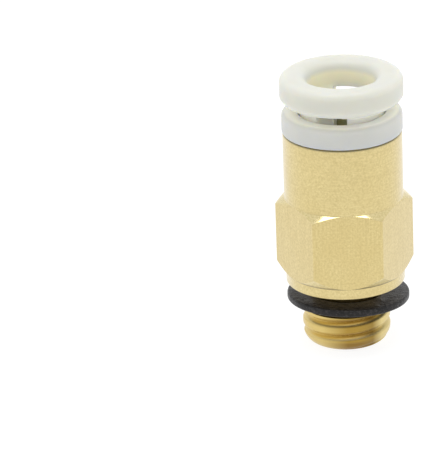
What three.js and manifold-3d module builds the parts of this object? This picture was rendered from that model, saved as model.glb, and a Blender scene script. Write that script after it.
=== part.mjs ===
// A push to connect fitting for 4 mm tube, with an M6 x 1 male thread and an 8 mm hexagon.
// Millimetres, +Z up along the axis, origin at the centre of the thread's end face.
// Angles round the axis are in degrees from -Y towards +X.
import * as THREE from "three";
import { mergeVertices } from "three/addons/utils/BufferGeometryUtils.js";
import Module from "manifold-3d";

const wasm = await Module();
wasm.setup();

// The parts of a circle that the round surfaces are made of.
const ROUND_SIDES = 48;
const FILLET_STEPS = 4;

// Thread, relief neck and collar.
const THREAD_R = 2.96;
const THREAD_ROOT_R = 2.58;
const THREAD_PITCH = 1.0;
const THREAD_CREST = 0.5;
const THREAD_START = 0.65;
const THREAD_SUNK = 0.2;
const THREAD_TOP = 2.62;
const THREAD_RUNOUT = 0.12;
const END_ROUND_R = 0.74;
const END_ROUND_HEIGHT = 1.1;
const END_ROUND_STEPS = 8;
const NECK_R = 2.35;
const COLLAR_BOTTOM = 4.31;
const COLLAR_R = 3.99;

// Hexagon and sleeve of the body.
const HEX_FLATS = 8.0;
const HEX_BOTTOM = 5.04;
const HEX_TOP = 10.28;
const HEX_LOWER_SLOPE = 1.23;
const HEX_UPPER_SLOPE = 0.71;
const SLEEVE_R = 3.985;
const BODY_TOP = 14.9;

// Inside of the body, from the thread's bore up to the mouth.
const BORE_R = 1.5;
const SOCKET_R = 2.06;
const SOCKET_FLOOR = 7.0;
const SEAL_SEAT = 9.85;
const SEAL_CHAMBER_R = 3.35;
const RING_BORE_R = 3.5;
const RING_BORE_FLOOR = 12.9;
const EDGE_BREAK = 0.08;

// Gasket, loose on the neck.
const GASKET_R = 4.11;
const GASKET_HOLE_R = 2.45;
const GASKET_THICKNESS = 0.5;
const GASKET_FILLET = 0.12;
const GASKET_HEIGHT = 3.15;
const GASKET_SHIFT = 0.15;
const GASKET_LEAN = -2.5;
const GASKET_TILT = 1.4;

// Seal, guide ring and chuck inside the sleeve.
const INNER_R = 3.3;
const SEAL_BOTTOM = 9.9;
const SEAL_TOP = 11.35;
const SEAL_OUTER_LIP = 0.3;
const SEAL_LIP_R = 1.9;
const SEAL_LIP_BOTTOM = 10.25;
const SEAL_LIP_TOP = 10.5;
const SEAL_LIP_WALL = 0.25;
const SEAL_LEAD = 0.35;
const SEAL_GROOVE_TOP = 10.72;
const SEAL_GROOVE_INNER_R = 2.5;
const SEAL_GROOVE_OUTER_R = 2.8;
const GUIDE_BOTTOM = 11.4;
const GUIDE_TOP = 12.73;
const GUIDE_WALL = 0.35;
const GUIDE_FLOOR = 0.25;
const GUIDE_HOLE_R = 2.1;
const CHUCK_BOTTOM = 12.75;
const CHUCK_TOP = 12.95;
const CHUCK_HOLE_R = 2.75;
const CLAW_COUNT = 8;
const CLAW_DROP = 42;
const CLAW_ROOT_GAP = 0.2;
const CLAW_LENGTH = 1.15;
const CLAW_ROOT_WIDTH = 1.4;
const CLAW_TIP_WIDTH = 1.1;
const CLAW_THICKNESS = 0.2;

// Seat ring, pressed into the sleeve.
const SEAT_SLEEVE_R = 3.47;
const SEAT_SLEEVE_BOTTOM = 13.0;
const SEAT_RIM_R = 4.03;
const SEAT_RIM_BOTTOM = 14.97;
const SEAT_TOP = 16.4;
const SEAT_FILLET = 0.38;
const SEAT_POCKET_R = 3.12;
const SEAT_LIP_R = 2.96;
const SEAT_LIP_BOTTOM = 15.75;

// Release button.
const BUTTON_TOP = 18.9;
const BUTTON_RIM_R = 4.12;
const BUTTON_RIM_BOTTOM = 17.11;
const BUTTON_RIM_DRAFT = 0.3;
const BUTTON_RIM_DRAFT_HEIGHT = 0.35;
const BUTTON_FILLET = 0.5;
const BUTTON_NECK_R = 2.82;
const MOUTH_R = 2.3;
const MOUTH_FILLET = 0.75;
const MOUTH_TAPER_BOTTOM = 15.4;
const HOOK_R = 3.08;
const HOOK_BOTTOM = 15.1;
const HOOK_TOP = 15.7;
const NOSE_R = 2.25;
const NOSE_BOTTOM = 12.64;
const NOSE_CONE_BOTTOM = 13.45;
const NOSE_CONE_TOP = 14.1;
const SLOT_WIDTH = 2.1;
const SLOT_TOP = 17.2;
const SLOT_ANGLE = -17.8;

const radians = THREE.MathUtils.degToRad;

const brass = new THREE.MeshStandardMaterial({ color: 0xd8c080, roughness: 0.35, metalness: 1 });
const rubber = new THREE.MeshStandardMaterial({ color: 0x2a2829, roughness: 0.6, metalness: 0 });
const seatResin = new THREE.MeshStandardMaterial({ color: 0xdcdcde, roughness: 0.5, metalness: 0 });
const buttonResin = new THREE.MeshStandardMaterial({ color: 0xe6e6da, roughness: 0.45, metalness: 0 });
const guideMetal = new THREE.MeshStandardMaterial({ color: 0xc9b070, roughness: 0.4, metalness: 1 });
const springSteel = new THREE.MeshStandardMaterial({ color: 0xb8babd, roughness: 0.3, metalness: 1 });

// A closed geometry as a manifold solid: shared vertices are merged and collapsed triangles dropped.
function solid(geometry) {
  const bare = geometry.clone();
  bare.deleteAttribute("normal");
  bare.deleteAttribute("uv");
  const merged = mergeVertices(bare, 1e-5);
  const index = merged.index.array;
  const kept = [];
  for (let i = 0; i < index.length; i += 3) {
    const [a, b, c] = [index[i], index[i + 1], index[i + 2]];
    if (a !== b && b !== c && c !== a) kept.push(a, b, c);
  }
  const triVerts = new Uint32Array(kept);
  const vertProperties = new Float32Array(merged.attributes.position.array);
  return new wasm.Manifold(new wasm.Mesh({ numProp: 3, vertProperties, triVerts }));
}

// A manifold solid as a geometry.
function surface(manifold) {
  const mesh = manifold.getMesh();
  const geometry = new THREE.BufferGeometry();
  geometry.setAttribute("position", new THREE.BufferAttribute(mesh.vertProperties, 3));
  geometry.setIndex(new THREE.BufferAttribute(mesh.triVerts, 1));
  geometry.computeVertexNormals();
  return geometry;
}

// A quarter circle from one angle to another about a centre, as profile points.
function fillet(r, z, radius, fromDegrees, toDegrees) {
  const points = [];
  for (let i = 0; i <= FILLET_STEPS; i += 1) {
    const angle = radians(fromDegrees + ((toDegrees - fromDegrees) * i) / FILLET_STEPS);
    points.push([r + radius * Math.cos(angle), z + radius * Math.sin(angle)]);
  }
  return points;
}

// A closed profile of [radius, height] points, anticlockwise, turned round the Z axis.
function turned(profile) {
  const points = profile.map(([r, z]) => new THREE.Vector2(r, z));
  points.push(points[0].clone());
  return new THREE.LatheGeometry(points, ROUND_SIDES).rotateX(Math.PI / 2);
}

// A flat outline of [x, y] points, extruded upwards from a height.
function prism(outline, bottom, height) {
  const shape = new THREE.Shape(outline.map(([x, y]) => new THREE.Vector2(x, y)));
  return new THREE.ExtrudeGeometry(shape, { depth: height, bevelEnabled: false }).translate(0, 0, bottom);
}

// A section of [radius, height] points swept round the axis as a right-hand helix.
// The section is extruded along Z first, and that length is then read as the angle.
function helix(section, turns, startHeight) {
  const steps = Math.round(turns * ROUND_SIDES);
  const shape = new THREE.Shape(section.map(([r, z]) => new THREE.Vector2(r, z)));
  const geometry = new THREE.ExtrudeGeometry(shape, { depth: turns, steps, bevelEnabled: false });
  const position = geometry.attributes.position;
  for (let i = 0; i < position.count; i += 1) {
    const [r, z, turn] = [position.getX(i), position.getY(i), position.getZ(i)];
    const angle = 2 * Math.PI * turn;
    position.setXYZ(i, r * Math.sin(angle), -r * Math.cos(angle), startHeight + z + THREAD_PITCH * turn);
  }
  return flipped(geometry);
}

// The same geometry with every triangle facing the other way.
function flipped(geometry) {
  const position = geometry.attributes.position;
  const corner = new THREE.Vector3();
  const other = new THREE.Vector3();
  for (let i = 0; i < position.count; i += 3) {
    corner.fromBufferAttribute(position, i);
    other.fromBufferAttribute(position, i + 1);
    position.setXYZ(i, other.x, other.y, other.z);
    position.setXYZ(i + 1, corner.x, corner.y, corner.z);
  }
  return geometry;
}

// The 60 degree ridge of the thread, cut to its run-out at the top.
function threadRidge() {
  const flank = Math.tan(radians(30));
  const crest = THREAD_CREST / 2;
  const foot = THREAD_ROOT_R - THREAD_SUNK;
  const base = crest + (THREAD_R - foot) * flank;
  const section = [
    [foot, -base],
    [THREAD_R, -crest],
    [THREAD_R, crest],
    [foot, base],
  ];
  const start = THREAD_START - 2 * THREAD_PITCH;
  const turns = (THREAD_TOP + base - start) / THREAD_PITCH;
  const margin = EDGE_BREAK;
  const envelope = turned([
    [BORE_R + 2 * margin, -margin],
    [THREAD_R + margin, -margin],
    [THREAD_R + margin, THREAD_TOP - THREAD_RUNOUT],
    [THREAD_ROOT_R, THREAD_TOP],
    [BORE_R + 2 * margin, THREAD_TOP],
  ]);
  return solid(helix(section, turns, start)).intersect(solid(envelope));
}

// All the space above the end face, with its lower edge rounded to the thread's end by a quarter ellipse.
function endRounding() {
  const profile = [[0, 0]];
  for (let i = 0; i <= END_ROUND_STEPS; i += 1) {
    const angle = radians((90 * i) / END_ROUND_STEPS);
    profile.push([THREAD_R - END_ROUND_R * (1 - Math.sin(angle)), END_ROUND_HEIGHT * (1 - Math.cos(angle))]);
  }
  profile.push([HEX_FLATS, 2 * END_ROUND_HEIGHT], [HEX_FLATS, 2 * BODY_TOP], [0, 2 * BODY_TOP]);
  return turned(profile);
}

// The hexagon, cut at both ends by a cone that meets its flats at their middles.
function hexBand() {
  const corner = HEX_FLATS / 2 / Math.cos(radians(30));
  const outline = [];
  for (let i = 0; i < 6; i += 1) {
    const angle = radians(60 * i);
    outline.push([corner * Math.cos(angle), corner * Math.sin(angle)]);
  }
  const flat = HEX_FLATS / 2;
  const hole = (RING_BORE_R + SLEEVE_R) / 2;
  const inward = 0.2;
  const outward = 1.0;
  const cones = turned([
    [hole, HEX_BOTTOM - inward * HEX_LOWER_SLOPE],
    [flat - inward, HEX_BOTTOM - inward * HEX_LOWER_SLOPE],
    [flat + outward, HEX_BOTTOM + outward * HEX_LOWER_SLOPE],
    [flat + outward, HEX_TOP - outward * HEX_UPPER_SLOPE],
    [flat - inward, HEX_TOP + inward * HEX_UPPER_SLOPE],
    [hole, HEX_TOP + inward * HEX_UPPER_SLOPE],
  ]);
  const blank = prism(outline, COLLAR_BOTTOM, BODY_TOP - COLLAR_BOTTOM);
  return solid(blank).intersect(solid(cones));
}

// The turned part of the body: bore, neck, collar and sleeve, hollow inside.
function bodyCore() {
  const middle = (HEX_BOTTOM + HEX_TOP) / 2;
  return solid(
    turned([
      [BORE_R + 2 * EDGE_BREAK, -EDGE_BREAK],
      [THREAD_ROOT_R, -EDGE_BREAK],
      [THREAD_ROOT_R, THREAD_TOP + EDGE_BREAK],
      [NECK_R, THREAD_TOP + 2 * EDGE_BREAK],
      [NECK_R, COLLAR_BOTTOM],
      [COLLAR_R - EDGE_BREAK, COLLAR_BOTTOM],
      [COLLAR_R, COLLAR_BOTTOM + EDGE_BREAK],
      [COLLAR_R, middle],
      [SLEEVE_R, middle],
      [SLEEVE_R, BODY_TOP - EDGE_BREAK],
      [SLEEVE_R - EDGE_BREAK, BODY_TOP],
      [RING_BORE_R, BODY_TOP],
      [RING_BORE_R, RING_BORE_FLOOR],
      [SEAL_CHAMBER_R, RING_BORE_FLOOR],
      [SEAL_CHAMBER_R, SEAL_SEAT],
      [SOCKET_R, SEAL_SEAT],
      [SOCKET_R, SOCKET_FLOOR],
      [BORE_R, SOCKET_FLOOR],
      [BORE_R, EDGE_BREAK],
    ])
  );
}

function makeBody() {
  const whole = bodyCore().add(hexBand()).add(threadRidge());
  return surface(whole.intersect(solid(endRounding())));
}

// A flat washer with rounded edges. Its hole stays on the fitting's axis while its outside sits off centre.
function makeGasket() {
  const edge = GASKET_THICKNESS / 2 - GASKET_FILLET;
  const washer = turned([
    ...fillet(GASKET_R - GASKET_FILLET, -edge, GASKET_FILLET, -90, 0),
    ...fillet(GASKET_R - GASKET_FILLET, edge, GASKET_FILLET, 0, 90),
    ...fillet(GASKET_HOLE_R + GASKET_FILLET, edge, GASKET_FILLET, 90, 180),
    ...fillet(GASKET_HOLE_R + GASKET_FILLET, -edge, GASKET_FILLET, 180, 270),
  ]);
  const middle = (GASKET_HOLE_R + GASKET_R) / 2;
  const position = washer.attributes.position;
  for (let i = 0; i < position.count; i += 1) {
    const outside = Math.hypot(position.getX(i), position.getY(i)) > middle;
    if (outside) position.setX(i, position.getX(i) + GASKET_SHIFT);
  }
  return washer;
}

// A lip seal: a solid heel on top, and an outer and an inner lip that open downwards.
function makeTubeSeal() {
  return turned([
    [INNER_R - SEAL_OUTER_LIP, SEAL_BOTTOM],
    [INNER_R, SEAL_BOTTOM],
    [INNER_R, SEAL_TOP],
    [SEAL_LIP_R + SEAL_LEAD, SEAL_TOP],
    [SEAL_LIP_R, SEAL_LIP_TOP],
    [SEAL_LIP_R, SEAL_LIP_BOTTOM],
    [SEAL_LIP_R + SEAL_LIP_WALL, SEAL_LIP_BOTTOM],
    [SEAL_GROOVE_INNER_R, SEAL_GROOVE_TOP],
    [SEAL_GROOVE_OUTER_R, SEAL_GROOVE_TOP],
  ]);
}

function makeGuideRing() {
  return turned([
    [GUIDE_HOLE_R, GUIDE_BOTTOM],
    [INNER_R, GUIDE_BOTTOM],
    [INNER_R, GUIDE_TOP],
    [INNER_R - GUIDE_WALL, GUIDE_TOP],
    [INNER_R - GUIDE_WALL, GUIDE_BOTTOM + GUIDE_FLOOR],
    [GUIDE_HOLE_R, GUIDE_BOTTOM + GUIDE_FLOOR],
  ]);
}

function makeChuckRing() {
  return turned([
    [CHUCK_HOLE_R, CHUCK_BOTTOM],
    [INNER_R, CHUCK_BOTTOM],
    [INNER_R, CHUCK_TOP],
    [CHUCK_HOLE_R, CHUCK_TOP],
  ]);
}

// One claw, lying flat: its bend line is the Y axis, it points along -X, and its top is at height 0.
function makeClaw() {
  const outline = [
    [-CLAW_ROOT_GAP, -CLAW_ROOT_WIDTH / 2],
    [-CLAW_ROOT_GAP, CLAW_ROOT_WIDTH / 2],
    [-CLAW_LENGTH, CLAW_TIP_WIDTH / 2],
    [-CLAW_LENGTH, -CLAW_TIP_WIDTH / 2],
  ];
  return prism(outline, -CLAW_THICKNESS, CLAW_THICKNESS);
}

function makeSeatRing() {
  return turned([
    [SEAT_POCKET_R, SEAT_SLEEVE_BOTTOM],
    [SEAT_SLEEVE_R, SEAT_SLEEVE_BOTTOM],
    [SEAT_SLEEVE_R, SEAT_RIM_BOTTOM],
    [SEAT_RIM_R - EDGE_BREAK, SEAT_RIM_BOTTOM],
    [SEAT_RIM_R, SEAT_RIM_BOTTOM + EDGE_BREAK],
    ...fillet(SEAT_RIM_R - SEAT_FILLET, SEAT_TOP - SEAT_FILLET, SEAT_FILLET, 0, 90),
    [SEAT_LIP_R, SEAT_TOP],
    [SEAT_LIP_R, SEAT_LIP_BOTTOM],
    [SEAT_POCKET_R, SEAT_LIP_BOTTOM],
  ]);
}

// The button: a wide rim with a flared mouth on a slotted sleeve, with hooks under the seat ring's lip
// and a thin nose.
function makeReleaseButton() {
  const whole = turned([
    [SOCKET_R, NOSE_BOTTOM],
    [NOSE_R, NOSE_BOTTOM],
    [NOSE_R, NOSE_CONE_BOTTOM],
    [BUTTON_NECK_R, NOSE_CONE_TOP],
    [BUTTON_NECK_R, HOOK_BOTTOM],
    [HOOK_R, HOOK_BOTTOM + HOOK_R - BUTTON_NECK_R],
    [HOOK_R, HOOK_TOP],
    [BUTTON_NECK_R, HOOK_TOP],
    [BUTTON_NECK_R, BUTTON_RIM_BOTTOM],
    [BUTTON_RIM_R - BUTTON_RIM_DRAFT, BUTTON_RIM_BOTTOM],
    [BUTTON_RIM_R, BUTTON_RIM_BOTTOM + BUTTON_RIM_DRAFT_HEIGHT],
    ...fillet(BUTTON_RIM_R - BUTTON_FILLET, BUTTON_TOP - BUTTON_FILLET, BUTTON_FILLET, 0, 90),
    ...fillet(MOUTH_R + MOUTH_FILLET, BUTTON_TOP - MOUTH_FILLET, MOUTH_FILLET, 90, 180),
    [SOCKET_R, MOUTH_TAPER_BOTTOM],
  ]);
  const length = 3 * HOOK_R;
  const slots = new THREE.BoxGeometry(SLOT_WIDTH, length, length);
  slots.translate(0, 0, SLOT_TOP - length / 2).rotateZ(radians(SLOT_ANGLE));
  return surface(solid(whole).subtract(solid(slots)));
}

const fitting = new THREE.Group();

function add(name, geometry, material, parent = fitting) {
  const mesh = new THREE.Mesh(geometry, material);
  mesh.name = name;
  parent.add(mesh);
  return mesh;
}

add("body", makeBody(), brass);

// The gasket hangs loose on the neck, so it is a little tilted.
const gasket = add("gasket", makeGasket(), rubber);
gasket.position.set(0, 0, GASKET_HEIGHT);
gasket.rotation.set(radians(GASKET_LEAN), radians(GASKET_TILT), 0);

add("tube_seal", makeTubeSeal(), rubber);
add("guide_ring", makeGuideRing(), guideMetal);
add("chuck_ring", makeChuckRing(), springSteel);
add("seat_ring", makeSeatRing(), seatResin);
add("release_button", makeReleaseButton(), buttonResin);

// The claws stand half a step off the button's slots, so that its nose reaches every one.
const clawGeometry = makeClaw();
const clawStep = 360 / CLAW_COUNT;
for (let i = 0; i < CLAW_COUNT; i += 1) {
  const turn = new THREE.Group();
  turn.rotation.z = radians(SLOT_ANGLE - 90 + clawStep * (i + 0.5));
  fitting.add(turn);
  const claw = add(`claw_${i + 1}`, clawGeometry, springSteel, turn);
  claw.position.set(CHUCK_HOLE_R, 0, CHUCK_TOP);
  claw.rotation.y = -radians(CLAW_DROP);
}

export default fitting;
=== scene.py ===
# The looks of a push to connect fitting for 4 mm tube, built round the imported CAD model. Blender 4.5.
# Lengths in this file are millimetres in the row frame, and MM turns them into Blender's metres.
# Directions round the axis are angles from -Y towards +X, as in the CAD model: degrees in the named values
# and radians in the functions. A profile's corner is (radius, height, fillet).
import math

import bmesh
import bpy
from mathutils import Matrix, Vector


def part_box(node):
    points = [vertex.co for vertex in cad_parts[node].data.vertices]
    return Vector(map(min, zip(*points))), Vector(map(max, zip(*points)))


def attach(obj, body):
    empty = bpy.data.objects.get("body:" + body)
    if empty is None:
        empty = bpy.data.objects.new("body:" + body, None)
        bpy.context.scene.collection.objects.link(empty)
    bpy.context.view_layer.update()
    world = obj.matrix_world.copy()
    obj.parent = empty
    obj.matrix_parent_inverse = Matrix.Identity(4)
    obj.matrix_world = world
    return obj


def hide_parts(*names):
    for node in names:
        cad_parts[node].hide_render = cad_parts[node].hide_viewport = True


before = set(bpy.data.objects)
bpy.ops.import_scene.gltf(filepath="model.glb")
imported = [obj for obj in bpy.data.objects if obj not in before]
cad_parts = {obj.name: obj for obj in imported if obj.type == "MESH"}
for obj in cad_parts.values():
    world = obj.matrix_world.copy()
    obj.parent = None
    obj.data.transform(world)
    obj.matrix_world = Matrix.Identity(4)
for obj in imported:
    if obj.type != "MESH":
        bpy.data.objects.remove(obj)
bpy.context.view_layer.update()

MM = 0.001

# Camera: a long lens, above the fitting, which stands right of the picture's middle.
CAMERA_AZIMUTH = -1.05
CAMERA_ELEVATION = 22.24
CAMERA_ROLL = -2.06
CAMERA_DISTANCE = 300.0
CAMERA_AIM = (-8.37, -0.21, 8.56)
CAMERA_LENS = 359.0
CAMERA_NEAREST = 10.0
CAMERA_FARTHEST = 5000.0

# Studio: a glowing floor, a white room and one softbox overhead. The softbox leans back only, because a
# lean to one side would also turn it about its own axis.
FLOOR_HALF_WIDTH = 1500.0
FLOOR_GAP = 0.01
FLOOR_GLOW = 0.88
ROOM_FRONT_STRENGTH = 0.78
ROOM_BACK_STRENGTH = 1.0
SOFTBOX_DIRECTION = (0, 0.03, 1)
SOFTBOX_AIM = (0, 0, 9.5)
SOFTBOX_DISTANCE = 250.0
SOFTBOX_SIZE = (198.0, 106.0)
SOFTBOX_WATTS = 0.226

# How finely round things are divided, the largest share of a profile's side that one fillet takes up, and
# the angle in degrees from which an edge is drawn sharp.
ROUND_SIDES = 288
HIDDEN_SIDES = 144
FILLET_STEPS = 4
FILLET_SHARE = 0.48
SHARP_ANGLE = 40

# Thread and neck. The thread is rows of points, a few of them past its top, and blends round it off.
THREAD_R = 2.96
THREAD_ROOT_R = 2.58
THREAD_PITCH = 1.0
THREAD_CREST = 0.5
THREAD_FLANK_ANGLE = 30
THREAD_START = 0.65
THREAD_TOP = 2.62
THREAD_RUNOUT = 0.12
THREAD_ROOT_BLEND = 0.2
THREAD_CREST_BLEND = 0.26
THREAD_END_BLEND = 0.05
THREAD_RUNOUT_BLEND = 0.04
THREAD_FIRST_ROW = 0.001
THREAD_ROW = 0.02
THREAD_ROWS_PAST_TOP = 4
END_ROUND_R = 0.74
END_ROUND_HEIGHT = 1.1
NECK_R = 2.35
NECK_FOOT = THREAD_TOP + 0.1

# Collar, hexagon and sleeve. A slope is the height that a chamfer gains for each unit of radius. A corner
# of the hexagon has HEX_CORNER_STEPS steps of HEX_CORNER_STEP degrees on either side of its middle.
COLLAR_BOTTOM = 4.31
COLLAR_R = 3.99
HEX_BOTTOM = 5.04
HEX_TOP = 10.28
HEX_LOWER_SLOPE = 1.23
HEX_UPPER_SLOPE = 0.71
HEX_CORNER_ROUND = 0.12
HEX_CORNER_STEPS = 4
HEX_CORNER_STEP = 0.25
SLEEVE_R = 3.985

# Inside of the body.
BORE_R = 1.5
SOCKET_R = 2.06
SOCKET_FLOOR = 7.0
SEAL_SEAT = 9.85
SEAL_CHAMBER_R = 3.35
RING_BORE_R = 3.5
RING_BORE_FLOOR = 12.9

# Gasket. Its outside is shifted towards +X. Its lean, about X, lifts its front, and its tilt, about Y,
# lowers its +X side.
GASKET_HOLE_R = 2.45
GASKET_R = 4.11
GASKET_THICKNESS = 0.5
GASKET_FILLET = 0.14
GASKET_HEIGHT = 3.15
GASKET_SHIFT = 0.15
GASKET_LEAN = -2.5
GASKET_TILT = 1.4

# Seal, guide ring and chuck.
INNER_R = 3.3
SEAL_OUTER_LIP = 0.3
SEAL_LIP_R = 1.9
SEAL_LIP_BOTTOM = 10.25
SEAL_LIP_TOP = 10.5
SEAL_LIP_WALL = 0.25
SEAL_LEAD = 0.35
SEAL_GROOVE_TOP = 10.72
SEAL_GROOVE_INNER_R = 2.5
SEAL_GROOVE_OUTER_R = 2.8
GUIDE_WALL = 0.35
GUIDE_FLOOR = 0.25
GUIDE_HOLE_R = 2.1
CHUCK_HOLE_R = 2.75
CHUCK_TOP = 12.95
CLAW_COUNT = 8
CLAW_DROP = 42.0
CLAW_ROOT_GAP = 0.26
CLAW_LENGTH = 1.15
CLAW_ROOT_WIDTH = 1.4
CLAW_TIP_WIDTH = 1.1
CLAW_THICKNESS = 0.2
CLAW_GROUND = 0.7 * CLAW_THICKNESS
CLAW_EDGE_ROUND = 0.03
CLAW_WELD = 0.0005

# Seat ring.
SEAT_SLEEVE_R = 3.47
SEAT_RIM_BOTTOM = 14.97
SEAT_FILLET = 0.38
SEAT_POCKET_R = 3.12
SEAT_LIP_R = 2.96
SEAT_LIP_BOTTOM = 15.75

# Release button.
BUTTON_RIM_BOTTOM = 17.11
BUTTON_RIM_DRAFT = 0.3
BUTTON_RIM_DRAFT_HEIGHT = 0.35
BUTTON_FILLET = 0.5
BUTTON_NECK_R = 2.82
MOUTH_R = 2.3
MOUTH_FILLET = 0.75
MOUTH_TAPER_BOTTOM = 15.4
HOOK_R = 3.08
HOOK_BOTTOM = 15.1
HOOK_TOP = 15.7
NOSE_R = 2.25
NOSE_CONE_BOTTOM = 13.45
NOSE_CONE_TOP = 14.1
SLOT_WIDTH = 2.1
SLOT_TOP = 17.2
SLOT_EDGE_ROUND = 0.1
SLOT_ANGLE = -17.8


def extent(node):
    """A CAD node's lowest and highest corners, in millimetres."""
    low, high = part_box(node)
    return low / MM, high / MM


# ---------------------------------------------------------------- mesh building


def rounded(corners):
    """A closed profile of (radius, height, fillet) corners with each corner rounded by an arc."""
    points = []
    for i, (r, z, fillet) in enumerate(corners):
        corner = Vector((r, z))
        if fillet == 0:
            points.append(corner)
            continue
        before = Vector(corners[i - 1][:2]) - corner
        after = Vector(corners[(i + 1) % len(corners)][:2]) - corner
        half = before.angle(after) / 2
        reach = min(fillet / math.tan(half), FILLET_SHARE * before.length, FILLET_SHARE * after.length)
        start = corner + before.normalized() * reach
        end = corner + after.normalized() * reach
        for k in range(FILLET_STEPS + 1):
            t = k / FILLET_STEPS
            weights = ((1 - t) ** 2, 2 * math.sin(half) * t * (1 - t), t * t)
            total = start * weights[0] + corner * weights[1] + end * weights[2]
            points.append(total / sum(weights))
    return points


def at(radius, height, angle):
    """The point at a radius and a height, at an angle in radians from -Y towards +X."""
    return (radius * math.sin(angle), -radius * math.cos(angle), height)


def revolve(profiles, angles):
    """Vertices and faces of a closed surface whose closed profile at each angle is given."""
    rows = len(profiles[0])
    count = len(angles)
    vertices = []
    for profile, angle in zip(profiles, angles):
        vertices += [at(r, z, angle) for r, z in profile]
    faces = []
    for i in range(count):
        j = (i + 1) % count
        for k in range(rows):
            m = (k + 1) % rows
            faces.append((i * rows + k, j * rows + k, j * rows + m, i * rows + m))
    return vertices, faces


def turned(corners, sides=ROUND_SIDES):
    """Vertices and faces of a round piece with one rounded profile."""
    profile = rounded(corners)
    angles = [2 * math.pi * i / sides for i in range(sides)]
    return revolve([profile] * sides, angles)


def piece(name, vertices, faces, body, slot, node, *materials):
    """A shown piece from vertices in millimetres."""
    mesh = bpy.data.meshes.new(name)
    mesh.from_pydata([Vector(v) * MM for v in vertices], [], faces)
    mesh.update()
    return dress(name, mesh, body, slot, node, *materials)


def dress(name, mesh, body, slot, node, *materials):
    """A shown piece from a mesh in metres: smooth, riding on its body and standing for its CAD node."""
    obj = bpy.data.objects.new(name, mesh)
    bpy.context.scene.collection.objects.link(obj)
    mesh.shade_smooth()
    mesh.set_sharp_from_angle(angle=math.radians(SHARP_ANGLE))
    weighted = obj.modifiers.new("even_shading", "WEIGHTED_NORMAL")
    weighted.keep_sharp = True
    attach(obj, body)
    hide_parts(node)
    for material in materials:
        mesh.materials.append(material)
    return obj


# ---------------------------------------------------------------- brass body


def softer_min(a, b, blend):
    """The smaller of two numbers, with a rounded change from one to the other."""
    mix = max(blend - abs(a - b), 0) / blend
    return min(a, b) - mix * mix * blend / 4


def thread_radius(angle, height):
    """The radius of a right-hand thread with softened crests and roots, cut by its end and its run-out."""
    turns = (height - THREAD_START) / THREAD_PITCH - angle / (2 * math.pi)
    from_crest = abs(turns - round(turns)) * THREAD_PITCH
    flank = THREAD_R + (THREAD_CREST / 2 - from_crest) / math.tan(math.radians(THREAD_FLANK_ANGLE))
    cut = -softer_min(-THREAD_ROOT_R, -flank, THREAD_ROOT_BLEND)
    cut = softer_min(THREAD_R, cut, THREAD_CREST_BLEND)
    below = max(1 - height / END_ROUND_HEIGHT, 0)
    end = THREAD_R - END_ROUND_R * (1 - math.sqrt(1 - below * below))
    cut = softer_min(cut, end, THREAD_END_BLEND)
    runout = THREAD_ROOT_R + (THREAD_TOP - height) * (THREAD_R - THREAD_ROOT_R) / THREAD_RUNOUT
    cut = softer_min(cut, runout, THREAD_RUNOUT_BLEND)
    return max(cut, NECK_R if height > END_ROUND_HEIGHT else 0)


def hex_radius(angle, flat):
    """The radius of a hexagon with rounded corners, at an angle from the middle of a flat."""
    sixth = math.radians(60)
    within = angle - sixth * round(angle / sixth)
    centre = flat / math.cos(sixth / 2) - HEX_CORNER_ROUND / math.cos(sixth / 2)
    off = sixth / 2 - abs(within)
    reach = centre * math.sin(off)
    sharp = flat / math.cos(within)
    if reach < HEX_CORNER_ROUND / 2:
        arc = centre * math.cos(off) + math.sqrt(HEX_CORNER_ROUND ** 2 - reach ** 2)
        return min(sharp, arc)
    return sharp


def body_angles():
    """Even steps round the axis, with finer ones at the hexagon's rounded corners."""
    step = 2 * math.pi / ROUND_SIDES
    angles = {round(i * step, 6) for i in range(ROUND_SIDES)}
    for corner in range(6):
        for k in range(-HEX_CORNER_STEPS, HEX_CORNER_STEPS + 1):
            angles.add(round(math.radians(30 + 60 * corner + HEX_CORNER_STEP * k), 6))
    return sorted(angles)


def thread_rows(angle):
    """The thread's profile at one angle, from its end up on to the neck."""
    heights = [
        THREAD_FIRST_ROW + k * THREAD_ROW
        for k in range(int(THREAD_TOP / THREAD_ROW) + THREAD_ROWS_PAST_TOP)
    ]
    return [Vector((thread_radius(angle, height), height)) for height in heights]


def body_profile(angle, flat, top):
    """The body's closed profile at one angle: thread, neck, collar, hexagon, sleeve, then the inside."""
    hexagon = hex_radius(angle, flat)
    stand = hexagon - flat
    low_edge = HEX_BOTTOM + stand * HEX_LOWER_SLOPE
    high_edge = HEX_TOP - stand * HEX_UPPER_SLOPE
    cone_foot = HEX_BOTTOM - (flat - COLLAR_R) * HEX_LOWER_SLOPE
    cone_head = HEX_TOP + (flat - SLEEVE_R) * HEX_UPPER_SLOPE
    return thread_rows(angle) + rounded([
        (NECK_R, NECK_FOOT, 0),
        (NECK_R, COLLAR_BOTTOM, 0.08),
        (COLLAR_R, COLLAR_BOTTOM, 0.09),
        (COLLAR_R, cone_foot, 0.03),
        (hexagon, low_edge, 0.05),
        (hexagon, high_edge, 0.04),
        (SLEEVE_R, cone_head, 0.06),
        (SLEEVE_R, top, 0.1),
        (RING_BORE_R, top, 0.04),
        (RING_BORE_R, RING_BORE_FLOOR, 0.03),
        (SEAL_CHAMBER_R, RING_BORE_FLOOR, 0.03),
        (SEAL_CHAMBER_R, SEAL_SEAT, 0.08),
        (SOCKET_R, SEAL_SEAT, 0.1),
        (SOCKET_R, SOCKET_FLOOR, 0.06),
        (BORE_R, SOCKET_FLOOR, 0.06),
        (BORE_R, 0.0, 0.09),
        (THREAD_R - END_ROUND_R, 0.0, 0),
    ])


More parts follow.
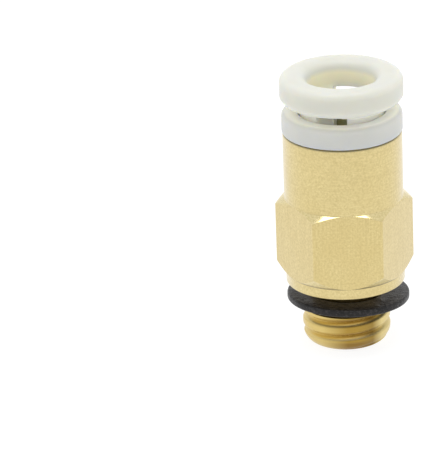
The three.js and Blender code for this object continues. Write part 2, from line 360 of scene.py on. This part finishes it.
def make_body():
    """The brass body, whose hexagon has its flats at CAD's width and whose sleeve ends at CAD's top."""
    high = extent("body")[1]
    angles = body_angles()
    profiles = [body_profile(angle, high.y, high.z) for angle in angles]
    vertices, faces = revolve(profiles, angles)
    finishes = [brass_turned, brass_drawn, brass_thread, brass_bore, brass_chamfer, brass_undercut]
    materials = [made(finish) for finish in finishes]
    obj = piece("brass_body", vertices, faces, "fitting_body", "brass", "body", *materials)
    for face in obj.data.polygons:
        finish = body_finish(face.center / MM, face.normal, high.y)
        face.material_index = finishes.index(finish)


def body_finish(centre, normal, flat):
    """The finish of a face of the body, by its place and its normal, with margins that take in fillets."""
    radius = math.hypot(centre.x, centre.y)
    outward = centre.x * normal.x + centre.y * normal.y
    on_lower_chamfer = radius > COLLAR_R and centre.z < HEX_BOTTOM + 1 and normal.z < -0.3
    on_upper_chamfer = radius > SLEEVE_R and centre.z > HEX_TOP - 0.6 and normal.z > 0.5
    on_flat = radius > flat * 0.98 and HEX_BOTTOM < centre.z < HEX_TOP and abs(normal.z) < 0.02
    if outward > 0 and on_lower_chamfer:
        return brass_undercut
    if outward > 0 and on_upper_chamfer:
        return brass_chamfer
    if on_flat:
        return brass_drawn
    if outward > 0 and centre.z < THREAD_TOP:
        return brass_thread
    if outward < 0 and radius < SEAL_CHAMBER_R + 0.2:
        return brass_bore
    return brass_turned


# ---------------------------------------------------------------- rubber, resin and steel pieces


def make_gasket():
    """A flat washer, tilted on the neck. Its hole stays on the axis while its outside sits off centre."""
    half = GASKET_THICKNESS / 2
    vertices, faces = turned([
        (GASKET_HOLE_R, -half, GASKET_FILLET),
        (GASKET_R, -half, GASKET_FILLET),
        (GASKET_R, half, GASKET_FILLET),
        (GASKET_HOLE_R, half, GASKET_FILLET),
    ])
    lean = Matrix.Rotation(math.radians(GASKET_LEAN), 3, "X")
    tilt = Matrix.Rotation(math.radians(GASKET_TILT), 3, "Y")
    middle = (GASKET_HOLE_R + GASKET_R) / 2
    placed = []
    for x, y, z in vertices:
        shift = GASKET_SHIFT if math.hypot(x, y) > middle else 0
        placed.append(lean @ tilt @ Vector((x + shift, y, z)) + Vector((0, 0, GASKET_HEIGHT)))
    material = rubber("gasket_rubber", (0.0058, 0.0052, 0.0052), 0.34)
    piece("rubber_gasket", placed, faces, "gasket", "gasket_rubber", "gasket", material)


def make_seat_ring():
    """The resin ring in the top of the sleeve, with painted light, lighter and warmer, on its inside near
    the button, and painted shade deep down in it.
    """
    low, high = extent("seat_ring")
    vertices, faces = turned([
        (SEAT_POCKET_R, low.z, 0.08),
        (SEAT_SLEEVE_R, low.z, 0.15),
        (SEAT_SLEEVE_R, SEAT_RIM_BOTTOM, 0.04),
        (high.x, SEAT_RIM_BOTTOM, 0.12),
        (high.x, high.z, SEAT_FILLET),
        (SEAT_LIP_R, high.z, 0.1),
        (SEAT_LIP_R, SEAT_LIP_BOTTOM, 0.05),
        (SEAT_POCKET_R, SEAT_LIP_BOTTOM, 0.05),
    ])
    # Painted light on the ring's inside near the button's neck, and painted shade deep down in its pocket.
    inside = core(3.68, high.z, (0.92, 0.91, 0.83))
    depth = core(3.25, 15.0, (0.50, 0.49, 0.28))
    material = resin("seat_resin", (0.615, 0.625, 0.605), 0.42, [inside, depth])
    piece("white_seat_ring", vertices, faces, "fitting_body", "seat_resin", "seat_ring", material)


def make_release_button():
    """A round profile, cut by the two slots that let its hooks spring in. Its mouth and neck carry painted
    light: lighter, warmer colour.
    """
    low, high = extent("release_button")
    vertices, faces = turned([
        (SOCKET_R, low.z, 0.06),
        (NOSE_R, low.z, 0.06),
        (NOSE_R, NOSE_CONE_BOTTOM, 0.15),
        (BUTTON_NECK_R, NOSE_CONE_TOP, 0.15),
        (BUTTON_NECK_R, HOOK_BOTTOM, 0.04),
        (HOOK_R, HOOK_BOTTOM + HOOK_R - BUTTON_NECK_R, 0.05),
        (HOOK_R, HOOK_TOP, 0.03),
        (BUTTON_NECK_R, HOOK_TOP, 0.04),
        (BUTTON_NECK_R, BUTTON_RIM_BOTTOM, 0.06),
        (high.x - BUTTON_RIM_DRAFT, BUTTON_RIM_BOTTOM, 0.2),
        (high.x, BUTTON_RIM_BOTTOM + BUTTON_RIM_DRAFT_HEIGHT, 0.25),
        (high.x, high.z, BUTTON_FILLET),
        (MOUTH_R, high.z, MOUTH_FILLET),
        (SOCKET_R, MOUTH_TAPER_BOTTOM, 0.3),
    ])
    mesh = slotted(vertices, faces)
    # Painted light: the mouth and everything below the rim near the axis are lighter and warmer, standing in
    # for light through the resin.
    mouth_painted_light = core(2.75, 18.15, (0.86, 0.845, 0.71))
    neck_painted_light = core(3.7, BUTTON_RIM_BOTTOM + 0.04, (0.99, 0.975, 0.87))
    material = resin("button_resin", (0.665, 0.675, 0.63), 0.36, [mouth_painted_light, neck_painted_light])
    node = "release_button"
    dress("white_release_button", mesh, "release_button", "button_resin", node, material)


def slotted(vertices, faces):
    """The button's mesh in metres, from its uncut surface in millimetres."""
    mesh = bpy.data.meshes.new("release_button")
    mesh.from_pydata([Vector(v) for v in vertices], [], faces)
    whole = bpy.data.objects.new("whole_button", mesh)
    cutter = slot_cutter()
    for obj in (whole, cutter):
        bpy.context.scene.collection.objects.link(obj)
    cut = whole.modifiers.new("slots", "BOOLEAN")
    cut.operation = "DIFFERENCE"
    cut.solver = "EXACT"
    cut.object = cutter
    view_layer = bpy.context.evaluated_depsgraph_get()
    result = bpy.data.meshes.new_from_object(whole.evaluated_get(view_layer))
    result.transform(Matrix.Scale(MM, 4))
    for obj in (whole, cutter):
        bpy.data.objects.remove(obj)
    return result


def slot_cutter():
    """A long box with rounded upper edges, through both sides of the button's sleeve."""
    length = 3 * HOOK_R
    bm = bmesh.new()
    bmesh.ops.create_cube(bm, size=1)
    top = [edge for edge in bm.edges if all(v.co.z > 0 for v in edge.verts)]
    long_top = [edge for edge in top if edge.verts[0].co.x == edge.verts[1].co.x]
    bmesh.ops.scale(bm, vec=(SLOT_WIDTH, length, length), verts=bm.verts)
    bmesh.ops.translate(bm, vec=(0, 0, SLOT_TOP - length / 2), verts=bm.verts)
    bmesh.ops.bevel(bm, geom=long_top, offset=SLOT_EDGE_ROUND, segments=4, profile=0.5, affect="EDGES")
    turn = Matrix.Rotation(math.radians(SLOT_ANGLE), 4, "Z")
    bmesh.ops.transform(bm, matrix=turn, verts=bm.verts)
    mesh = bpy.data.meshes.new("slot_cutter")
    bm.to_mesh(mesh)
    bm.free()
    return bpy.data.objects.new("slot_cutter", mesh)


def make_tube_seal():
    """The lip seal: an inner lip round the tube, an outer lip, and a groove between them, open below."""
    low, high = extent("tube_seal")
    vertices, faces = turned([
        (INNER_R - SEAL_OUTER_LIP, low.z, 0.08),
        (INNER_R, low.z, 0.08),
        (INNER_R, high.z, 0.1),
        (SEAL_LIP_R + SEAL_LEAD, high.z, 0.1),
        (SEAL_LIP_R, SEAL_LIP_TOP, 0.08),
        (SEAL_LIP_R, SEAL_LIP_BOTTOM, 0.05),
        (SEAL_LIP_R + SEAL_LIP_WALL, SEAL_LIP_BOTTOM, 0.05),
        (SEAL_GROOVE_INNER_R, SEAL_GROOVE_TOP, 0.1),
        (SEAL_GROOVE_OUTER_R, SEAL_GROOVE_TOP, 0.1),
    ], HIDDEN_SIDES)
    material = rubber("seal_rubber", (0.016, 0.016, 0.017), 0.5)
    piece("black_tube_seal", vertices, faces, "fitting_body", "seal_rubber", "tube_seal", material)


def make_guide_ring():
    """The cup over the seal, which leaves room for the claws."""
    low, high = extent("guide_ring")
    vertices, faces = turned([
        (GUIDE_HOLE_R, low.z, 0.08),
        (INNER_R, low.z, 0.06),
        (INNER_R, high.z, 0.05),
        (INNER_R - GUIDE_WALL, high.z, 0.05),
        (INNER_R - GUIDE_WALL, low.z + GUIDE_FLOOR, 0.1),
        (GUIDE_HOLE_R, low.z + GUIDE_FLOOR, 0.08),
    ], HIDDEN_SIDES)
    material = made(brass_bore)
    piece("brass_guide_ring", vertices, faces, "fitting_body", "guide_brass", "guide_ring", material)


def make_chuck_ring():
    """The flat ring that the claws are bent from."""
    low, high = extent("chuck_ring")
    vertices, faces = turned([
        (CHUCK_HOLE_R, low.z, 0.03),
        (INNER_R, low.z, 0.05),
        (INNER_R, high.z, 0.05),
        (CHUCK_HOLE_R, high.z, 0.03),
    ], HIDDEN_SIDES)
    material = made(spring_steel)
    piece("steel_chuck_ring", vertices, faces, "fitting_body", "spring_steel", "chuck_ring", material)


def claw_plate():
    """A tapered plate with rounded edges and a tip ground to a biting edge, lying along -X from its root."""
    outline = [
        (-CLAW_ROOT_GAP, 0, CLAW_ROOT_WIDTH),
        (-CLAW_LENGTH + CLAW_GROUND, 0, CLAW_TIP_WIDTH),
        (-CLAW_LENGTH, -CLAW_GROUND, CLAW_TIP_WIDTH),
        (-CLAW_LENGTH, -CLAW_THICKNESS, CLAW_TIP_WIDTH),
        (-CLAW_ROOT_GAP, -CLAW_THICKNESS, CLAW_ROOT_WIDTH),
    ]
    bm = bmesh.new()
    left = [bm.verts.new((x, -width / 2, z)) for x, z, width in outline]
    right = [bm.verts.new((x, width / 2, z)) for x, z, width in outline]
    bm.faces.new(left)
    bm.faces.new(reversed(right))
    for k in range(len(outline)):
        m = (k + 1) % len(outline)
        bm.faces.new((left[m], left[k], right[k], right[m]))
    bmesh.ops.recalc_face_normals(bm, faces=bm.faces)
    bmesh.ops.bevel(bm, geom=bm.edges[:], offset=CLAW_EDGE_ROUND, segments=3, profile=0.5, affect="EDGES")
    bmesh.ops.remove_doubles(bm, verts=bm.verts[:], dist=CLAW_WELD)
    return bm


def make_claw(number):
    """A spring claw, bent down from the chuck ring's hole. Each slot faces a gap between two claws."""
    bm = claw_plate()
    drop = Matrix.Rotation(-math.radians(CLAW_DROP), 4, "Y")
    place = Matrix.Translation((CHUCK_HOLE_R, 0, CHUCK_TOP))
    direction = SLOT_ANGLE - 90 + 360 / CLAW_COUNT * (number - 0.5)
    turn = Matrix.Rotation(math.radians(direction), 4, "Z")
    bmesh.ops.transform(bm, matrix=Matrix.Scale(MM, 4) @ turn @ place @ drop, verts=bm.verts)
    name = f"steel_claw_{number}"
    mesh = bpy.data.meshes.new(name)
    bm.to_mesh(mesh)
    bm.free()
    node = f"claw_{number}"
    dress(name, mesh, node, "spring_steel", node, made(spring_steel))


# ---------------------------------------------------------------- shader building


def add_node(tree, kind, values=(), **settings):
    """A shader node with its settings, and its input values by socket name."""
    node = tree.nodes.new(kind)
    for name, value in settings.items():
        setattr(node, name, value)
    for socket, value in dict(values).items():
        node.inputs[socket].default_value = value
    return node


def made(maker):
    """The material of the same name as its maker function, made once and then shared."""
    return bpy.data.materials.get(maker.__name__) or maker()


def new_material(name, constants):
    """A material, its node tree and its shader, with the shader's constants by socket name."""
    material = bpy.data.materials.new(name)
    material.use_nodes = True
    shader = material.node_tree.nodes["Principled BSDF"]
    for socket, value in constants.items():
        shader.inputs[socket].default_value = value
    return material, material.node_tree, shader


def millimetres(tree, scale=(1, 1, 1)):
    """Object coordinates in millimetres, stretched by a scale."""
    where = add_node(tree, "ShaderNodeTexCoord")
    stretch = add_node(tree, "ShaderNodeMapping")
    stretch.inputs["Scale"].default_value = [s / MM for s in scale]
    tree.links.new(where.outputs["Object"], stretch.inputs["Vector"])
    return stretch.outputs["Vector"]


def off_axis(tree, scale=1.0):
    """The distance from the fitting's axis in millimetres, times a scale."""
    flat = millimetres(tree, (scale, scale, 0))
    length = add_node(tree, "ShaderNodeVectorMath", operation="LENGTH")
    tree.links.new(flat, length.inputs[0])
    return length.outputs["Value"]


def along(tree, axis):
    """The coordinate along one axis in millimetres."""
    split = add_node(tree, "ShaderNodeSeparateXYZ")
    tree.links.new(millimetres(tree), split.inputs["Vector"])
    return split.outputs[axis]


def sideways(tree):
    """The distance from the fitting's middle towards +X."""
    return along(tree, "X")


def upwards(tree):
    """The height above the thread's end face."""
    return along(tree, "Z")


def noise(tree, scale, detail=3.0, roughness=0.5, rings=0.0):
    """Noise with scales per millimetre. With rings, it also changes with the distance from the axis."""
    values = {"Scale": 1.0, "Detail": detail, "Roughness": roughness}
    texture = add_node(tree, "ShaderNodeTexNoise", values)
    if rings:
        texture.noise_dimensions = "4D"
        tree.links.new(off_axis(tree, rings), texture.inputs["W"])
    tree.links.new(millimetres(tree, scale), texture.inputs["Vector"])
    return texture.outputs["Fac"]


def remap(tree, value, low, high, to_low=0.0, to_high=1.0):
    """A value's range low to high, spread over to_low to to_high and held there beyond it."""
    values = {"From Min": low, "From Max": high, "To Min": to_low, "To Max": to_high}
    node = add_node(tree, "ShaderNodeMapRange", values)
    tree.links.new(value, node.inputs["Value"])
    return node.outputs["Result"]


def mix_colours(tree, factor, first, second):
    """Two colours, mixed by a factor."""
    node = add_node(tree, "ShaderNodeMix", data_type="RGBA")
    tree.links.new(factor, node.inputs["Factor"])
    for socket, colour in (("A", first), ("B", second)):
        target = [s for s in node.inputs if s.name == socket and s.type == "RGBA"][0]
        if isinstance(colour, tuple):
            target.default_value = (*colour, 1)
        else:
            tree.links.new(colour, target)
    return [s for s in node.outputs if s.type == "RGBA"][0]


def times(colour, factors):
    """A colour with each of its channels multiplied."""
    return tuple(c * factor for c, factor in zip(colour, factors))


def film(measure, low, high, tint, start=0.0, end=1.0):
    """A painted tint of light or shade whose strength goes from start to end as a measure goes from low to
    high.
    """
    return lambda tree: remap(tree, measure(tree), low, high, start, end), tint


def core(radius, top, tint):
    """A painted tint of light or shade within a radius of the axis and below a height, with soft borders."""
    def strength(tree):
        inside = remap(tree, off_axis(tree), radius, radius + 0.2, 1.0, 0.0)
        under = remap(tree, upwards(tree), top, top + 0.3, 1.0, 0.0)
        both = add_node(tree, "ShaderNodeMath", operation="MULTIPLY")
        tree.links.new(inside, both.inputs[0])
        tree.links.new(under, both.inputs[1])
        return both.outputs["Value"]

    return strength, tint


def under_films(tree, colour, painted_tints):
    """A colour under painted tints of light and shade, each of them over the ones before it."""
    for strength, tint in painted_tints:
        colour = mix_colours(tree, strength(tree), colour, tint)
    return colour


def bump(tree, shader, layers):
    """Surface relief from a chain of (height, depth in millimetres) layers."""
    normal = None
    for height, depth in layers:
        node = add_node(tree, "ShaderNodeBump", {"Strength": 1.0, "Distance": depth * MM})
        tree.links.new(height, node.inputs["Height"])
        if normal is not None:
            tree.links.new(normal, node.inputs["Normal"])
        normal = node.outputs["Normal"]
    tree.links.new(normal, shader.inputs["Normal"])


# ---------------------------------------------------------------- materials


def brass(name, light, dark, marks, roughness=(0.30, 0.42), coat=1.0, depth=0.0025, painted_tints=()):
    """Satin brass under a clear coat: tool marks and dark specks over a slow colour change, under painted
    tints of light and shade.
    """
    material, tree, shader = new_material(name, {
        "Metallic": 1.0,
        "Coat Weight": coat,
        "Coat Roughness": 0.25,
        "Coat IOR": 1.7,
    })
    tool = marks(tree)
    grain = noise(tree, (7, 7, 7), roughness=0.65)
    cloud = remap(tree, noise(tree, (0.7, 0.7, 0.5), detail=2.0), 0.35, 0.65)
    lines = remap(tree, tool, 0.35, 0.7, 0.0, 0.5)
    specks = remap(tree, grain, 0.38, 0.68)
    brown = times(dark, (0.80, 0.78, 0.70))
    colour = mix_colours(tree, cloud, light, dark)
    colour = mix_colours(tree, lines, colour, brown)
    colour = mix_colours(tree, specks, colour, brown)
    tree.links.new(under_films(tree, colour, painted_tints), shader.inputs["Base Color"])
    tree.links.new(remap(tree, tool, 0.3, 0.7, *roughness), shader.inputs["Roughness"])
    bump(tree, shader, [(grain, 0.6 * depth), (tool, depth)])
    return material


def turning_marks(tree):
    """Fine rings round the axis."""
    return noise(tree, (0.25, 0.25, 22), roughness=0.55, rings=22)


def drawing_marks(tree):
    """Fine lines along the axis."""
    return noise(tree, (14, 14, 0.35), roughness=0.6)


def brass_turned():
    """The collar and the sleeve, with painted shade in the joint under the seat ring and on the collar's
    underside and the neck below it.
    """
    sleeve_top = extent("body")[1].z
    # Painted shade: a dark band at the sleeve's top edge under the seat ring, and everything below the
    # collar's bottom edge darkened.
    joint_shade = film(upwards, sleeve_top - 0.07, sleeve_top - 0.02, (0.40, 0.34, 0.17))
    underside_shade = film(upwards, COLLAR_BOTTOM + 0.06, COLLAR_BOTTOM + 0.02, (0.42, 0.30, 0.10))
    light, dark = (0.76, 0.625, 0.28), (0.73, 0.59, 0.25)
    return brass("brass_turned", light, dark, turning_marks, painted_tints=[joint_shade, underside_shade])


def brass_drawn():
    """The hexagon's flats, as the bar was drawn."""
    return brass("brass_drawn", (0.74, 0.60, 0.255), (0.71, 0.565, 0.225), drawing_marks)


def brass_chamfer():
    """The hexagon's upper chamfer, cut smoother, in a lighter painted copy of the brass that stands in for
    light.
    """
    # Painted light: colours lighter than the sleeve's brass, so that the chamfer looks brightly lit.
    light, dark = (0.86, 0.73, 0.39), (0.83, 0.70, 0.36)
    polish = {"roughness": (0.10, 0.14), "coat": 0.3, "depth": 0.0003}
    return brass("brass_chamfer", light, dark, turning_marks, **polish)


def brass_undercut():
    """The lower chamfer, in a lighter painted copy of the brass, with painted shade in its corner with the
    collar.
    """
    # Painted shade: darker towards the corner with the collar.
    corner_shade = film(off_axis, COLLAR_R + 0.16, COLLAR_R, (0.20, 0.15, 0.05))
    # Painted light: colours lighter than the sleeve's brass, standing in for the bright floor that the
    # chamfer reflects.
    light, dark = (0.93, 0.80, 0.40), (0.91, 0.77, 0.38)
    return brass("brass_undercut", light, dark, turning_marks, roughness=(0.42, 0.5), painted_tints=[corner_shade])


def brass_thread():
    """The thread, in a darker painted copy of the brass, with a painted highlight on its crests' edges,
    painted dark reflection on its crests, painted shade towards its foot, and painted light and shade from
    side to side.
    """
    # Painted highlight on the crests' edges, then painted dark reflection over the crests.
    crest_edge_highlight = film(off_axis, 2.68, 2.80, (0.92, 0.78, 0.42))
    crest_dark_reflection = film(off_axis, 2.85, 2.91, (0.40, 0.25, 0.035))
    # Painted shade: darker towards the thread's foot.
    foot_shade = film(upwards, 0.80, 0.62, (0.27, 0.155, 0.02))
    # Painted light and shade from side to side: lighter towards -X, darker and then lighter again towards
    # +X.
    left = film(sideways, -0.1, -1.8, (0.74, 0.57, 0.20), end=0.85)
    right = film(sideways, 0.6, 1.6, (0.28, 0.18, 0.035), end=0.65)
    far_right = film(sideways, 1.6, 2.25, (0.74, 0.60, 0.25), end=0.95)
    painted_tints = [crest_edge_highlight, crest_dark_reflection, foot_shade, left, right, far_right]
    # Painted shade: a darker, more orange copy of the brass.
    light, dark = (0.58, 0.40, 0.10), (0.50, 0.33, 0.07)
    polish = {"roughness": (0.34, 0.44), "coat": 0.3, "depth": 0.002}
    return brass("brass_thread", light, dark, turning_marks, painted_tints=painted_tints, **polish)


def brass_bore():
    """The inside of the body, and the guide ring."""
    light, dark = (0.70, 0.55, 0.26), (0.60, 0.45, 0.19)
    polish = {"roughness": (0.28, 0.42), "coat": 0.3, "depth": 0.003}
    return brass("brass_bore", light, dark, turning_marks, **polish)


def spring_steel():
    """Pressed stainless strip: fine rolling lines and a soft shine."""
    material, tree, shader = new_material("spring_steel", {"Metallic": 1.0})
    rolled = noise(tree, (2, 18, 18))
    colour = mix_colours(tree, rolled, (0.55, 0.56, 0.58), (0.66, 0.67, 0.69))
    tree.links.new(colour, shader.inputs["Base Color"])
    tree.links.new(remap(tree, rolled, 0.3, 0.7, 0.2, 0.34), shader.inputs["Roughness"])
    bump(tree, shader, [(rolled, 0.0012)])
    return material


def rubber(name, colour, roughness):
    """Moulded rubber: nearly black, with a grey bloom, pits that hold lighter dust and a soft sheen."""
    material, tree, shader = new_material(name, {
        "IOR": 1.34,
        "Sheen Weight": 0.03,
        "Sheen Roughness": 0.4,
        "Sheen Tint": (0.75, 0.8, 1.0, 1),
    })
    bloom = remap(tree, noise(tree, (1.2, 1.2, 1.2)), 0.35, 0.7)
    pits = noise(tree, (6, 6, 6), 4.0, 0.7)
    dust = remap(tree, pits, 0.50, 0.66)
    grey = tuple(c * 1.6 + 0.004 for c in colour)
    mixed = mix_colours(tree, bloom, colour, grey)
    mixed = mix_colours(tree, dust, mixed, times(grey, (3.6, 3.6, 3.6)))
    tree.links.new(mixed, shader.inputs["Base Color"])
    shine = remap(tree, bloom, 0.0, 1.0, roughness - 0.06, roughness + 0.1)
    tree.links.new(shine, shader.inputs["Roughness"])
    bump(tree, shader, [(pits, 0.035), (noise(tree, (2.5, 2.5, 2.5), 2.0), 0.05)])
    return material


def resin(name, colour, roughness, painted_cores):
    """Moulded off-white resin that light sinks into, with a fine skin and cores of painted light and shade.
    """
    material, tree, shader = new_material(name, {
        "Subsurface Weight": 0.9,
        "Subsurface Radius": (1.0, 0.85, 0.55),
        "Subsurface Scale": 1.5 * MM,
        "Specular IOR Level": 0.45,
    })
    cloud = remap(tree, noise(tree, (0.6, 0.6, 0.6)), 0.3, 0.7)
    mixed = mix_colours(tree, cloud, colour, times(colour, (0.965, 0.965, 0.955)))
    tree.links.new(under_films(tree, mixed, painted_cores), shader.inputs["Base Color"])
    skin = noise(tree, (9, 9, 9), roughness=0.6)
    shine = remap(tree, skin, 0.3, 0.7, roughness - 0.05, roughness + 0.08)
    tree.links.new(shine, shader.inputs["Roughness"])
    bump(tree, shader, [(skin, 0.003), (noise(tree, (1.1, 1.1, 1.1), 2.0), 0.01)])
    return material


def floor_sheet():
    """A plain sheet that glows evenly, so that it stays white under the fitting."""
    material, tree, shader = new_material("floor_sheet", {
        "Roughness": 0.8,
        "Emission Color": (1, 1, 1, 1),
        "Emission Strength": FLOOR_GLOW,
    })
    cloud = noise(tree, (0.02, 0.02, 0.02), 2.0)
    colour = mix_colours(tree, cloud, (0.15, 0.15, 0.15), (0.17, 0.17, 0.17))
    tree.links.new(colour, shader.inputs["Base Color"])
    return material


# ---------------------------------------------------------------- studio


def make_camera():
    azimuth, elevation = math.radians(CAMERA_AZIMUTH), math.radians(CAMERA_ELEVATION)
    level = math.cos(elevation)
    back = Vector((math.sin(azimuth) * level, -math.cos(azimuth) * level, math.sin(elevation)))
    camera = bpy.data.objects.new("camera", bpy.data.cameras.new("camera"))
    bpy.context.scene.collection.objects.link(camera)
    camera.data.lens = CAMERA_LENS
    camera.data.clip_start = CAMERA_NEAREST * MM
    camera.data.clip_end = CAMERA_FARTHEST * MM
    camera.location = (Vector(CAMERA_AIM) + back * CAMERA_DISTANCE) * MM
    upright = (-back).to_track_quat("-Z", "Y").to_matrix().to_4x4()
    camera.rotation_euler = (upright @ Matrix.Rotation(math.radians(CAMERA_ROLL), 4, "Z")).to_euler()
    bpy.context.scene.camera = camera


def make_floor():
    half = FLOOR_HALF_WIDTH
    corners = [(-half, -half), (half, -half), (half, half), (-half, half)]
    mesh = bpy.data.meshes.new("floor")
    mesh.from_pydata([Vector((x, y, -FLOOR_GAP)) * MM for x, y in corners], [], [(0, 1, 2, 3)])
    floor = bpy.data.objects.new("floor", mesh)
    bpy.context.scene.collection.objects.link(floor)
    mesh.materials.append(made(floor_sheet))


def make_softbox():
    """A rectangular area light that faces the fitting."""
    light = bpy.data.lights.new("top_softbox", "AREA")
    light.shape = "RECTANGLE"
    light.size, light.size_y = SOFTBOX_SIZE[0] * MM, SOFTBOX_SIZE[1] * MM
    light.energy = SOFTBOX_WATTS
    box = bpy.data.objects.new("top_softbox", light)
    bpy.context.scene.collection.objects.link(box)
    direction = Vector(SOFTBOX_DIRECTION)
    box.location = (Vector(SOFTBOX_AIM) + direction.normalized() * SOFTBOX_DISTANCE) * MM
    box.rotation_euler = direction.to_track_quat("Z", "Y").to_euler()


def make_world():
    """A white room that is a little brighter behind the fitting than in front of it."""
    world = bpy.data.worlds.new("studio")
    bpy.context.scene.world = world
    world.use_nodes = True
    tree = world.node_tree
    where = add_node(tree, "ShaderNodeTexCoord")
    split = add_node(tree, "ShaderNodeSeparateXYZ")
    tree.links.new(where.outputs["Generated"], split.inputs["Vector"])
    strength = remap(tree, split.outputs["Y"], -1, 1, ROOM_FRONT_STRENGTH, ROOM_BACK_STRENGTH)
    tree.links.new(strength, tree.nodes["Background"].inputs["Strength"])
    tree.nodes["Background"].inputs["Color"].default_value = (1, 1, 1, 1)


make_camera()
make_floor()
make_world()
make_softbox()
bpy.context.scene.view_settings.view_transform = "Standard"

make_body()
make_gasket()
make_seat_ring()
make_release_button()
make_tube_seal()
make_guide_ring()
make_chuck_ring()
for number in range(1, CLAW_COUNT + 1):
    make_claw(number)
